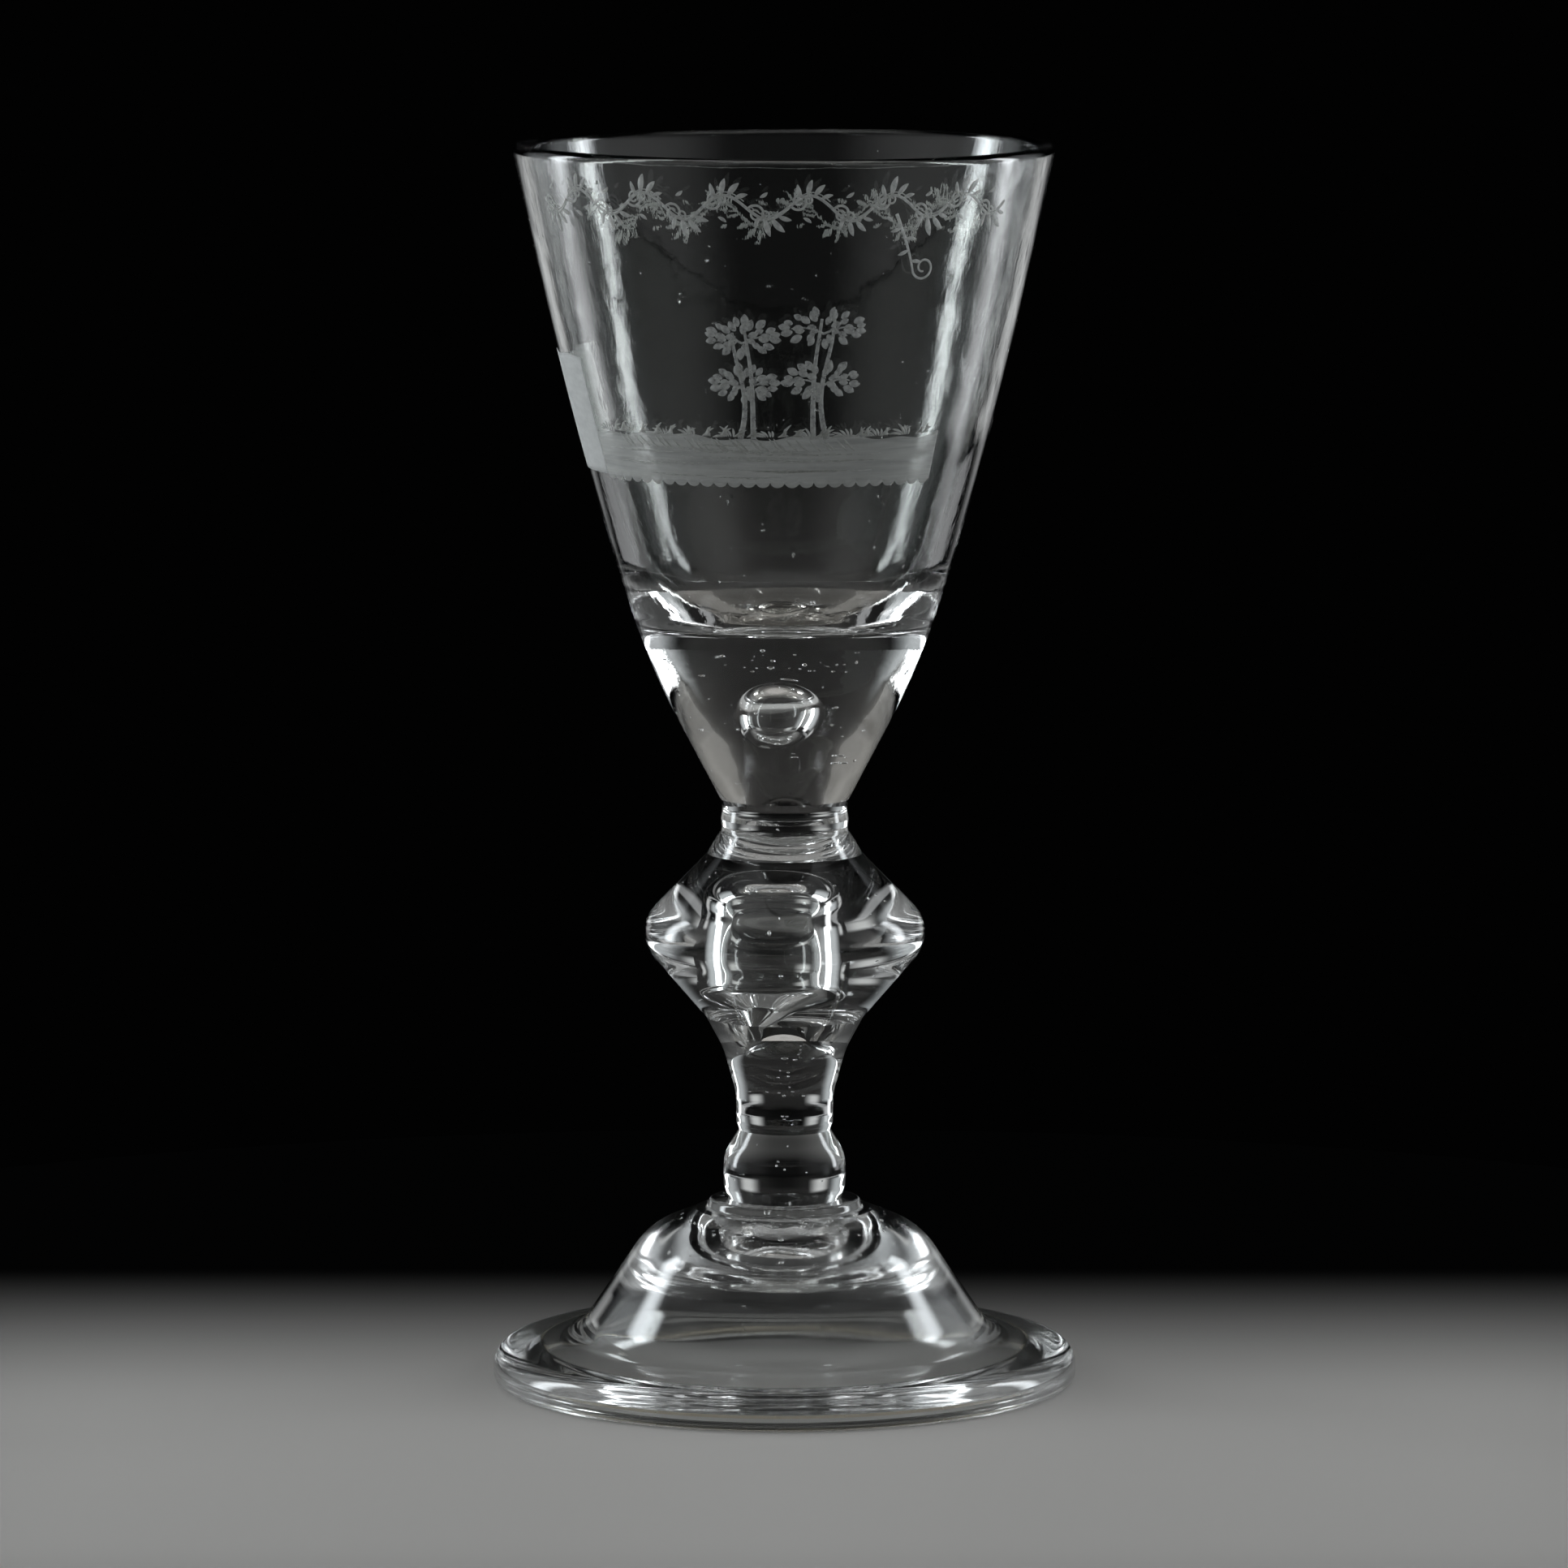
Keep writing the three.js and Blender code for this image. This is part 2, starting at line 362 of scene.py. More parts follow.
def multiply(tree, value, *others):
    for other in others:
        value = addMath(tree, "MULTIPLY", value, other)
    return value


def splitPlace(tree, place):
    split = newNode(tree, "SeparateXYZ")
    nodeLink(tree, place, split.inputs["Vector"])
    return split.outputs


def mixColours(tree, share, first, second):
    mix = newNode(tree, "Mix")
    mix.data_type = "RGBA"
    nodeLink(tree, share, mix.inputs[0])
    mix.inputs[6].default_value, mix.inputs[7].default_value = first, second
    return mix.outputs[2]


def mixShaders(tree, share, first, second):
    mix = newNode(tree, "MixShader")
    setOrLink(tree, share, mix.inputs["Fac"])
    nodeLink(tree, first, mix.inputs[1])
    nodeLink(tree, second, mix.inputs[2])
    return mix.outputs["Shader"]


def emptyMaterial(name):
    material = bpy.data.materials.new(name)
    material.use_nodes = True
    tree = material.node_tree
    tree.nodes.clear()
    return material, tree, newNode(tree, "OutputMaterial").inputs["Surface"]


def objectPlace(tree):
    return newNode(tree, "TexCoord").outputs["Object"]


glassSet = {
    "ior": 1.56,
    "tint": (0.935, 0.945, 0.93, 1),
    "polish": (0.0, 0.022),      # roughness between clean and handled places
    "smudgeScale": 55,
    "skinBump": 0.000012,        # metres
    "markTurn": 0.12,            # how fast tool marks change round the axis
    "shadowPass": 0.88,          # share of lamp light that each skin of glass lets through
    "scuff": (0.22, 900),        # roughness at the standing edge, and its grain
}


def turnedPlace(tree, place):
    # Distance from the axis and height, so that a pattern runs round the axis
    x, y, z = splitPlace(tree, place)
    squares = addMath(tree, "ADD", multiply(tree, x, x), multiply(tree, y, y))
    join = newNode(tree, "CombineXYZ")
    nodeLink(tree, addMath(tree, "SQRT", squares), join.inputs["X"])
    nodeLink(tree, multiply(tree, addMath(tree, "ADD", x, y), glassSet["markTurn"]), join.inputs["Y"])
    nodeLink(tree, z, join.inputs["Z"])
    return join.outputs["Vector"]


def glassMaterial(name, tint=glassSet["tint"], polish=glassSet["polish"], bump=glassSet["skinBump"],
                  grain=(700, 700, 1600), wearBelow=None, turned=False, warmCentre=None):
    material, tree, surface = emptyMaterial(name)
    glass = newNode(tree, "BsdfPrincipled")
    glass.inputs["Base Color"].default_value = tint
    glass.inputs["Transmission Weight"].default_value = 1
    glass.inputs["IOR"].default_value = glassSet["ior"]
    place = objectPlace(tree)
    smudge = addNoise(tree, place, glassSet["smudgeScale"], (1, 1, 0.5), 4)
    rough = addRange(tree, smudge, 0.45, 0.75, *polish)
    if wearBelow:
        # The standing edge is scuffed by the table
        most, gritScale = glassSet["scuff"]
        scuff = addRange(tree, splitPlace(tree, place)["Z"], 0, wearBelow * mm, most, 0)
        grit = addNoise(tree, place, gritScale, detail=2)
        rough = addMath(tree, "ADD", rough, multiply(tree, scuff, grit))
    nodeLink(tree, rough, glass.inputs["Roughness"])
    skin = addNoise(tree, turnedPlace(tree, place) if turned else place, 1, grain)
    bumpNode = newNode(tree, "Bump")
    bumpNode.inputs["Strength"].default_value = 1
    bumpNode.inputs["Distance"].default_value = bump
    nodeLink(tree, skin, bumpNode.inputs["Height"])
    nodeLink(tree, bumpNode.outputs["Normal"], glass.inputs["Normal"])
    if warmCentre:
        # A faint warm tint near the axis, at the bottom of the cup
        outwards = splitPlace(tree, turnedPlace(tree, place))["X"]
        fade = addRange(tree, outwards, warmCentre["inside"] * mm, warmCentre["outside"] * mm, 1, 0, soft=True)
        nodeLink(tree, mixColours(tree, fade, tint, warmCentre["colour"]), glass.inputs["Base Color"])
    clear = newNode(tree, "BsdfTransparent").outputs["BSDF"]
    shadow = newNode(tree, "LightPath").outputs["Is Shadow Ray"]
    passes = multiply(tree, shadow, glassSet["shadowPass"])
    nodeLink(tree, mixShaders(tree, passes, glass.outputs["BSDF"], clear), surface)
    return material


def fusedMaterial():
    # Where two pieces of hot glass are fused there is no surface to see
    material, tree, surface = emptyMaterial("fusedJoint")
    nodeLink(tree, newNode(tree, "BsdfTransparent").outputs["BSDF"], surface)
    return material


frostSet = {
    "colour": (0.78, 0.79, 0.77, 1),
    "roughness": 0.62,
    "passes": 0.55,          # share of light scattered on through the frosting
    "gloss": 0.3,
    "cut": (0.36, 0.64),     # grain between these is cut from thin to thick
}


def frostMaterial(name, thin, thick, scale, stretch, colour=frostSet["colour"]):
    # Wheel-engraved frosting: matt, partly clear, with the grain of the wheel
    material, tree, surface = emptyMaterial(name)
    matt = newNode(tree, "BsdfPrincipled")
    matt.inputs["Base Color"].default_value = colour
    matt.inputs["Roughness"].default_value = frostSet["roughness"]
    matt.inputs["Specular IOR Level"].default_value = frostSet["gloss"]
    grain = addNoise(tree, objectPlace(tree), scale, stretch, 4)
    glow = newNode(tree, "BsdfTranslucent")
    glow.inputs["Color"].default_value = colour
    scatter = mixShaders(tree, frostSet["passes"], matt.outputs["BSDF"], glow.outputs["BSDF"])
    clear = newNode(tree, "BsdfTransparent").outputs["BSDF"]
    cut = addRange(tree, grain, *frostSet["cut"], thin, thick)
    nodeLink(tree, mixShaders(tree, cut, clear, scatter), surface)
    return material


cupWarmCentre = {"inside": 13, "outside": 19, "colour": (0.86, 0.78, 0.7, 1)}
blownGlass = glassMaterial("blownGlass", grain=(900, 900, 260), warmCentre=cupWarmCentre)
gatherGlass = glassMaterial("gatherGlass", bump=0.000002, grain=(200, 200, 300), turned=True)
footSkin = {"bump": 0.000003, "grain": (160, 160, 300), "turned": True}
footGlass = glassMaterial("footGlass", wearBelow=1.2, **footSkin)
dustyGlass = glassMaterial("dustyGlass", tint=(0.84, 0.7, 0.46, 1), polish=(0.25, 0.5))
hollowGlass = glassMaterial("hollowGlass", polish=(0.06, 0.14), **footSkin)
brokenGlass = glassMaterial("brokenGlass", polish=(0.16, 0.34), bump=0.00005, grain=(900, 900, 900))
fusedJoint = fusedMaterial()
glassParts = [gatherGlass, fusedJoint]
print("materials made")


# Foot: the turned-under fold, the domed upper layer and the broken scar

foldSizes = {
    "width": 7.5, "innerRounding": 0.9, "outerRounding": 1.3,
    "seamFrom": 39.2,        # outside this radius the two layers are fused
    "seamGap": 0.09,         # air left between them inside it
    "dusty": 0.45,
}
footSizes = {
    "edge": 2.6, "edgeRounding": 2.9, "rimRise": 2.1,
    "domeFoot": 29.3, "domeFootRounding": 7,
    "shoulder": 19.3, "shoulderDrop": 2.8, "shoulderRounding": 11,
    "collar": 12.5,
    "underFootInset": 0.7, "underFootThickness": 3.2, "underFootRounding": 5,
    "underCrownInset": 1.3, "underCrown": 6, "underCrownRounding": 17.5,
}
scarSizes = {
    "radius": 9.4, "broadWave": 0.7, "fineWave": 0.45, "depth": 1.6, "thinnest": 0.06, "rows": 26,
    "settles": 14.5,         # radius where the dome's hollow is round again
    "chips": 3.1, "meanChip": 0.36, "broadChips": 0.14, "fineChips": 0.05,
    "worn": 0.75,            # share of the radius over which its edge is worn away
}


def scarRadius(angle):
    broad = scarSizes["broadWave"] * np.sin(3 * angle)
    fine = scarSizes["fineWave"] * np.sin(7 * angle + 1)
    return scarSizes["radius"] + broad + fine


def makeFold():
    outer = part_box("foot_fold")[1].x / mm
    inner = outer - foldSizes["width"]
    top = nodeTop("foot_fold")
    seam, gap = foldSizes["seamFrom"], foldSizes["seamGap"]
    outline = roundOff([
        (inner, 0, foldSizes["innerRounding"]),
        (outer, 0, foldSizes["outerRounding"]),
        (outer, top),
        (seam, top),
        (seam - 0.4, top - gap),
        (inner, top - gap, 0.8),
    ])
    outline = fillIn(outline + [outline[0]])[:-1]
    body = newBody()
    points, faces, slots = turnedShell(outline, joints=[(top, seam, outer)], closed=True)
    # Dust sits in the open seam, at the fold's inner edge
    for i, face in enumerate(faces):
        middle = points[list(face)].mean(0)
        if hypot(middle[0], middle[1]) < inner + foldSizes["dusty"] and middle[2] > top - 1.2:
            slots[i] = 2
    addShell(body, points, faces, slots)
    finishPiece("turned_fold", body, [footGlass, fusedJoint, dustyGlass], "foot_fold")
    return inner, outer, top, seam


foldInner, foldOuter, foldTop, seamRadius = makeFold()


def makeFoot():
    sizes = footSizes
    top = nodeTop("foot")
    rimTop = foldTop + sizes["edge"]
    rise = rimTop + sizes["rimRise"]
    crown = top - sizes["underCrown"]
    scar = scarSizes["radius"]
    outline = halfOutline([
        (0, crown),
        (scar, crown),
        (sizes["shoulder"] - sizes["underCrownInset"], crown, sizes["underCrownRounding"]),
        (sizes["domeFoot"] - sizes["underFootInset"], rise - sizes["underFootThickness"],
         sizes["underFootRounding"]),
        (foldInner, foldTop),
        (seamRadius, foldTop),
        (foldOuter, foldTop),
        (foldOuter, rimTop, sizes["edgeRounding"]),
        (sizes["domeFoot"], rise, sizes["domeFootRounding"]),
        (sizes["shoulder"], top - sizes["shoulderDrop"], sizes["shoulderRounding"]),
        (sizes["collar"], top),
        (0, top),
    ])

    def followScar(points):
        radius, angle = np.hypot(points[:, 0], points[:, 1]), np.arctan2(points[:, 1], points[:, 0])
        edge = scarRadius(angle)
        inside = radius * edge / scar
        share = np.clip((radius - scar) / (scarSizes["settles"] - scar), 0, 1)
        outside = radius + (edge - scar) * (1 - share) ** 2
        crownFace = np.abs(points[:, 2] - crown) < 1.5
        wanted = np.where(crownFace, np.where(radius <= scar + 1e-6, inside, outside), radius)
        scale = wanted / np.maximum(radius, 1e-9)
        return points * np.stack([scale, scale, np.ones(len(scale))], 1)

    joints = [(top, 0, sizes["collar"]), (crown, 0, scar), (foldTop, seamRadius, foldOuter)]
    points, faces, slots = turnedShell(outline, joints, reshape=followScar)
    # The hollow's skin is duller: it was pressed over the tool, not polished in the fire
    for i, face in enumerate(faces):
        a, b, c = points[list(face)[:3]]
        looksDown = np.cross(b - a, c - a)[2] < 0
        if slots[i] == 0 and looksDown and min(a[2], b[2], c[2]) > foldTop + 0.1:
            slots[i] = 2
    body = newBody()
    addShell(body, points, faces, slots)
    scatterSeeds(body, seedSets["dome"])
    finishPiece("domed_foot", body, [footGlass, fusedJoint, hollowGlass], "foot")


def makeScar():
    # The scar's broken face: shallow chips and a ragged edge
    sizes = scarSizes
    top = nodeTop("pontil_mark")
    count, rows = facesRound, sizes["rows"]
    shares = [sin(pi / 2 * i / rows) for i in range(rows + 1)]
    angles = np.linspace(0, 2 * pi, count, endpoint=False)
    points, faces, slots = [(0, 0, top)], [], []
    points += [(scarRadius(a) * cos(a), scarRadius(a) * sin(a), top) for a in angles]
    for share in reversed(shares[1:-1]):
        for a in angles:
            radius = scarRadius(a) * share
            x, y = radius * cos(a), radius * sin(a)
            size = sizes["chips"]
            chip = waver(np.array(x / size + 0.7 * y), 3) + waver(np.array(y / size - 0.4 * x + 9), 4)
            fine = waver(np.array((x + y) * 2.3), 5) * waver(np.array((x - y) * 2.1), 6)
            chipped = sizes["meanChip"] + sizes["broadChips"] * chip + sizes["fineChips"] * fine
            drop = max(sizes["thinnest"], min(sizes["depth"], sizes["depth"] * chipped))
            ragged = min(1, (1 - share) / sizes["worn"]) ** 2
            points.append((x, y, top - drop * ragged))
    points.append((0, 0, top - sizes["depth"] * sizes["meanChip"]))
    for j in range(count):
        k = (j + 1) % count
        faces.append((0, 1 + j, 1 + k))
        slots.append(1)
        for i in range(rows - 1):
            a, b = 1 + i * count, 1 + (i + 1) * count
            faces.append((a + k, a + j, b + j, b + k))
            slots.append(0)
        a = 1 + (rows - 1) * count
        faces.append((a + k, a + j, len(points) - 1))
        slots.append(0)
    body = newBody()
    addShell(body, points, faces, slots)
    finishPiece("broken_scar", body, [brokenGlass, fusedJoint], "pontil_mark")


# Seed bubbles, thickest where the gathers were folded together
# Each set is: how many, heights, distance from the axis, sizes

seedSets = {
    "dome": (84, (19.1, 23.6), (0.5, 14), (0.10, 0.34)),
    "basal": (12, (28, 35), (0, 5), (0.08, 0.17)),
    "stem": (22, (37, 51), (0, 5), (0.07, 0.19)),
    "knop": (26, (54, 74), (7.2, 12), (0.08, 0.2)),
    "neck": (14, (76, 79.5), (0, 7.4), (0.07, 0.18)),
    "base": (44, (89, 102.5), (4.6, 11), (0.08, 0.26)),
    "floor": (30, (104.2, 107.2), (1, 12.5), (0.08, 0.24)),
}


def scatterSeeds(body, chosen):
    count, heights, reaches, (small, large) = chosen
    for _ in range(count):
        height = seedDice.uniform(*heights)
        reach = seedDice.uniform(*reaches)
        angle = seedDice.uniform(0, 2 * pi)
        size = small + (large - small) * seedDice.random() ** 2.2
        centre = (reach * cos(angle), reach * sin(angle), height)
        long = size * seedDice.uniform(1, 1.7)
        addBubble(body, centre, (long, size, size * seedDice.uniform(0.8, 1.1)), turn=angle + pi / 2)


makeFoot()
makeScar()
print("foot made")


# Stem: the small gathers between foot and bowl, from the foot up

collarSizes = {
    "bottom": 12.5, "skirt": 10.9, "skirtUp": 0.12, "skirtRounding": 0.6,
    "edge": 10.5, "edgeRounding": 0.6,
}
basalSizes = {
    "seat": 8, "bulge": 8.6, "bulgeFrom": 2, "bulgeTo": 6.2, "waist": 6.4,
    "lowRounding": 3, "highRounding": 6,
}
stemSizes = {
    "beadUp": 1.1, "shaft": 6.8, "shaftUp": 5, "flare": 8.7, "flareUp": 11.7, "top": 11.1,
    "shaftRounding": 10, "flareRounding": 12,
}
neckSizes = {"flare": 9.9, "flareUp": 1.8, "waist": 8.8, "waistUp": 3.4, "top": 9, "rounding": 1.5}
upperCollarSizes = {"waist": 8.75, "waistUp": 1.5, "top": 9.1, "rounding": 2}
knopSizes = {"girdle": 21.6, "girdleUp": 12.2, "girdleRounding": 5.3, "top": 10.9}


def makeGather(name, node, sideCorners, topRadius, seeds=None, extra=None):
    # sideCorners run up the outside; flat fused faces close the piece below and above
    low, height = nodeBottom(node), nodeHeight(node)
    outline = halfOutline([(0, 0), *sideCorners, (topRadius, height), (0, height)], low)
    body = newBody()
    joints = [(low, 0, sideCorners[0][0]), (low + height, 0, topRadius)]
    addShell(body, *turnedShell(outline, joints))
    if seeds:
        scatterSeeds(body, seedSets[seeds])
    if extra:
        extra(body, low)
    finishPiece(name, body, glassParts, node)


knopTearSizes = {
    "radius": 7, "top": 16.4, "topRounding": 4.8, "shoulderUp": 7.8, "shoulderRounding": 2.2,
    "pinch": 2.6, "pinchUp": 5.2, "tip": 1.2,
    "tipShift": (-1.7, -0.6),     # the tail leans to one side
    "shift": -1.4, "folds": 0.2, "lean": 0.02,
    "speck": (-0.6, -8.1, 12.4), "speckSizes": (0.1, 0.1, 0.26),
}


def addKnopTear(body, low):
    tear = knopTearSizes
    outline = halfOutline([
        (0, tear["tip"]),
        (0.35, tear["tip"] + 0.3),
        (tear["pinch"], tear["pinchUp"], 3),
        (tear["radius"], tear["shoulderUp"], tear["shoulderRounding"]),
        (tear["radius"], tear["top"], tear["topRounding"]),
        (0, tear["top"]),
    ])

    def twistTail(points):
        x, y, z = points.T
        angle, radius = np.arctan2(y, x), np.hypot(x, y)
        fall = np.clip((tear["shoulderUp"] + 0.8 - z) / tear["shoulderUp"], 0, 1)
        folds = tear["folds"] * fall
        folded = radius * (1 + folds * np.sin(2 * angle + 0.7) + 0.5 * folds * np.sin(3 * angle))
        dx, dy = tear["tipShift"]
        sideways = tear["shift"] + sin(tear["lean"]) * z
        return np.stack([folded * np.cos(angle) + dx * fall ** 1.6 + sideways,
                         folded * np.sin(angle) + dy * fall ** 1.6, z + low], 1)

    points, faces, slots = turnedShell(outline, reshape=twistTail, count=120)
    addShell(body, points, faces, slots, inward=True)
    x, y, up = tear["speck"]
    addBubble(body, (x, y, low + up), tear["speckSizes"])


makeGather("joining_disc", "foot_collar", [
    (collarSizes["bottom"], 0),
    (collarSizes["skirt"], collarSizes["skirtUp"], collarSizes["skirtRounding"]),
    (collarSizes["edge"], nodeHeight("foot_collar"), collarSizes["edgeRounding"]),
], basalSizes["seat"])
makeGather("small_knop", "basal_knop", [
    (basalSizes["seat"], 0),
    (basalSizes["bulge"], basalSizes["bulgeFrom"], basalSizes["lowRounding"]),
    (basalSizes["bulge"], basalSizes["bulgeTo"], basalSizes["highRounding"]),
], basalSizes["waist"], "basal")
makeGather("baluster_stem", "stem", [
    (basalSizes["waist"], 0),
    (stemSizes["shaft"], stemSizes["beadUp"]),
    (stemSizes["shaft"], stemSizes["shaftUp"], stemSizes["shaftRounding"]),
    (stemSizes["flare"], stemSizes["flareUp"], stemSizes["flareRounding"]),
], stemSizes["top"], "stem")
makeGather("main_knop", "knop", [
    (stemSizes["top"], 0),
    (knopSizes["girdle"], knopSizes["girdleUp"], knopSizes["girdleRounding"]),
], knopSizes["top"], "knop", addKnopTear)
makeGather("neck_roll", "neck", [
    (knopSizes["top"], 0),
    (neckSizes["flare"], neckSizes["flareUp"], neckSizes["rounding"]),
    (neckSizes["waist"], neckSizes["waistUp"], neckSizes["rounding"]),
], neckSizes["top"], "neck")
makeGather("bowl_seat", "upper_collar", [
    (neckSizes["top"], 0),
    (upperCollarSizes["waist"], upperCollarSizes["waistUp"], upperCollarSizes["rounding"]),
], upperCollarSizes["top"])
print("stem and knops made")


# Bowl: the solid base with its tear, and the blown cup

baseSizes = {"belly": 16.1, "bellyUp": 13.3, "bellyRounding": 60, "top": 19.6}
creaseSizes = {"below": 3.4, "above": 3.4, "rounding": 105}
baseTearSizes = {
    "up": 10.2, "radius": 4, "height": 9.6, "fullness": 2.2,
    "shift": (-0.6, -0.2), "tilt": 14, "dent": 0.1,
    "speckUp": 20.1, "speck": (0.95, 0.7, 0.16), "speckShift": (0.5, -1.6),
}
bowlSizes = {
    "rim": 38.1, "rimThickness": 2.2, "lipRounding": 1, "bow": 30.1, "bowUp": 32.6, "bowRounding": 700,
    "floorThickness": 4.5, "floor": 15.2, "floorRounding": 5,
    "turnIn": 20, "turnInUp": 10.6, "turnInRounding": 22,
    "wall": 2.8, "insideRounding": 120,
}


def addBaseTear(body, low):
    tear = baseTearSizes
    half = tear["height"] / 2
    outline = []
    for t in np.linspace(-pi / 2, pi / 2, 49):
        out = abs(cos(t)) ** (2 / tear["fullness"])
        up = copysign(abs(sin(t)) ** (2 / tear["fullness"]), t)
        outline.append((tear["radius"] * out, half * up))
    outline[0], outline[-1] = (0, -half), (0, half)

    def pebble(points):
        x, y, z = points.T
        angle = np.arctan2(y, x)
        swell = 1 + tear["dent"] * np.sin(angle - 0.6) * z / half * 0.6 + 0.05 * np.sin(2 * angle + z / 3)
        x, y, z = x * swell, y * swell, z * (1 + 0.04 * np.sin(angle))
        c, s = cos(radians(tear["tilt"])), sin(radians(tear["tilt"]))
        dx, dy = tear["shift"]
        return np.stack([c * x + s * z + dx, y + dy, -s * x + c * z + low + tear["up"] + half], 1)

    points, faces, slots = turnedShell(outline, reshape=pebble, count=96)
    addShell(body, points, faces, slots, inward=True)
    dx, dy = tear["speckShift"]
    addBubble(body, (dx, dy, low + tear["speckUp"]), tear["speck"], turn=0.2, tilt=0.15)


def creaseCorners(height):
    # Two soft corners replace the sharp one where the base meets the bowl, so the skin runs smoothly across
    below, above = creaseSizes["below"], creaseSizes["above"]
    lowSlope = (baseSizes["top"] - baseSizes["belly"]) / (height - baseSizes["bellyUp"])
    highSlope = (bowlSizes["bow"] - baseSizes["top"]) / bowlSizes["bowUp"]
    low = (baseSizes["top"] - below * lowSlope, -below, creaseSizes["rounding"])
    high = (baseSizes["top"] + above * highSlope, above, creaseSizes["rounding"])
    seam = low[0] + (high[0] - low[0]) * below / (below + above)
    return low, seam, high


def makeBase():
    height = nodeHeight("bowl_base")
    low, seam, _ = creaseCorners(height)
    makeGather("solid_base", "bowl_base", [
        (upperCollarSizes["top"], 0),
        (baseSizes["belly"], baseSizes["bellyUp"], baseSizes["bellyRounding"]),
        (low[0], height + low[1], low[2]),
    ], seam, "base", addBaseTear)


def bowlOutside():
    low, high = nodeBottom("bowl"), nodeTop("bowl")
    _, seam, crease = creaseCorners(nodeHeight("bowl_base"))
    return [
        (seam, low),
        (crease[0], low + crease[1], crease[2]),
        (bowlSizes["bow"], low + bowlSizes["bowUp"], bowlSizes["bowRounding"]),
        (bowlSizes["rim"], high, bowlSizes["lipRounding"]),
    ]


def makeBowl():
    sizes = bowlSizes
    low, high = nodeBottom("bowl"), nodeTop("bowl")
    floor = low + sizes["floorThickness"]
    outline = halfOutline([
        (0, low),
        *bowlOutside(),
        (sizes["rim"] - sizes["rimThickness"], high, sizes["lipRounding"]),
        (sizes["bow"] - sizes["wall"], low + sizes["bowUp"], sizes["insideRounding"]),
        (sizes["turnIn"], low + sizes["turnInUp"], sizes["turnInRounding"]),
        (sizes["floor"], floor, sizes["floorRounding"]),
        (0, floor),
    ])
    body = newBody()
    addShell(body, *turnedShell(outline, joints=[(low, 0, bowlOutside()[0][0])]))
    scatterSeeds(body, seedSets["floor"])
    addWallSeeds(body)
    finishPiece("blown_bowl", body, [blownGlass, fusedJoint], "bowl")


wallSeeds = {"count": 260, "heights": (108, 172), "skin": 0.45, "sizes": (0.08, 0.26)}


def outsideRadius(height):
    # The bowl's outside radius at a height, for seeds and engraving
    return float(np.interp(height, bowlSkin[:, 1], bowlSkin[:, 0]))


def addWallSeeds(body):
    for _ in range(wallSeeds["count"]):
        height = seedDice.uniform(*wallSeeds["heights"])
        reach = outsideRadius(height) - wallSeeds["skin"] - seedDice.uniform(0, 1.1)
        angle = seedDice.uniform(0, 2 * pi)
        small, large = wallSeeds["sizes"]
        size = small + (large - small) * seedDice.random() ** 3
        centre = (reach * cos(angle), reach * sin(angle), height)
        addBubble(body, centre, (size, size, size * seedDice.uniform(1, 1.8)), count=10)


bowlSkin = fillIn(roundOff([(0, nodeBottom("bowl")), *bowlOutside(), (0, nodeTop("bowl"))])[1:-1])
makeBase()
makeBowl()
print("bowl made")


# Engraving: thin frosted strokes on the bowl's outside, drawn flat as
# (distance round to the right, height) and wrapped on at an angle from the front

strokeSet = {"lift": 0.035, "thickness": 0.02, "layers": 9, "layer": 0.003, "patchLift": 0.031}
strokeCount = 0


def wrapped(x, height, angle, lift):
    radius = outsideRadius(height) + lift
    turn = radians(angle) + x / outsideRadius(height)
    return (radius * sin(turn), -radius * cos(turn), height)


def addSheet(body, grid, lift):
    # A thin closed solid from rows of (distance round, height, angle)
    points = []
    for up in (lift, lift - strokeSet["thickness"]):
        points += [wrapped(*spot, up) for row in grid for spot in row]
    wide = len(grid[0])
    back = len(grid) * wide
    last = back - wide
    faces = []
    for start in range(0, last, wide):
        for a in range(start, start + wide - 1):
            b = a + wide
            faces.append((a, a + 1, b + 1, b))
            faces.append((back + a, back + b, back + b + 1, back + a + 1))
    edge = [*range(wide), *range(2 * wide - 1, back, wide)]
    edge += [*range(back - 2, last - 1, -1), *range(last - wide, 0, -wide)]
    for a, b in zip(edge, edge[1:] + edge[:1]):
        faces.append((a, back + a, back + b, b))
    addShell(body, points, faces, [0] * len(faces))


def addStroke(body, path, widths, angle):
    # A ribbon along a path; two widths are those of its ends
    global strokeCount
    strokeCount += 1
    lift = strokeSet["lift"] + strokeSet["layer"] * (strokeCount % strokeSet["layers"])
    path = np.array(path, float)
    if len(widths) == 2:
        widths = np.linspace(*widths, len(path))
    along = np.gradient(path, axis=0)
    along /= np.maximum(np.linalg.norm(along, axis=1, keepdims=True), 1e-9)
    across = np.stack([-along[:, 1], along[:, 0]], 1) * np.array(widths)[:, None] / 2
    grid = [[(*left, angle), (*right, angle)] for left, right in zip(path + across, path - across)]
    addSheet(body, grid, lift)


def leafPath(x, y, heading, length, bend=0.0, steps=9):
    path = []
    for i in range(steps + 1):
        path.append((x, y))
        direction = heading + bend * i / steps
        x += cos(direction) * length / steps
        y += sin(direction) * length / steps
    return path


def leafWidths(width, steps=9, tip=0.04):
    shares = [min(1, (i + 0.35) / (steps + 0.5)) for i in range(steps + 1)]
    return [max(tip, width * sin(pi * share) ** 0.75) for share in shares]


def finishEngraving(name, body, material):
    finishPiece(name, body, [material])


def addLeaf(body, x, y, heading, length, width, angle, bend=0.0):
    addStroke(body, leafPath(x, y, heading, length, bend), leafWidths(width), angle)


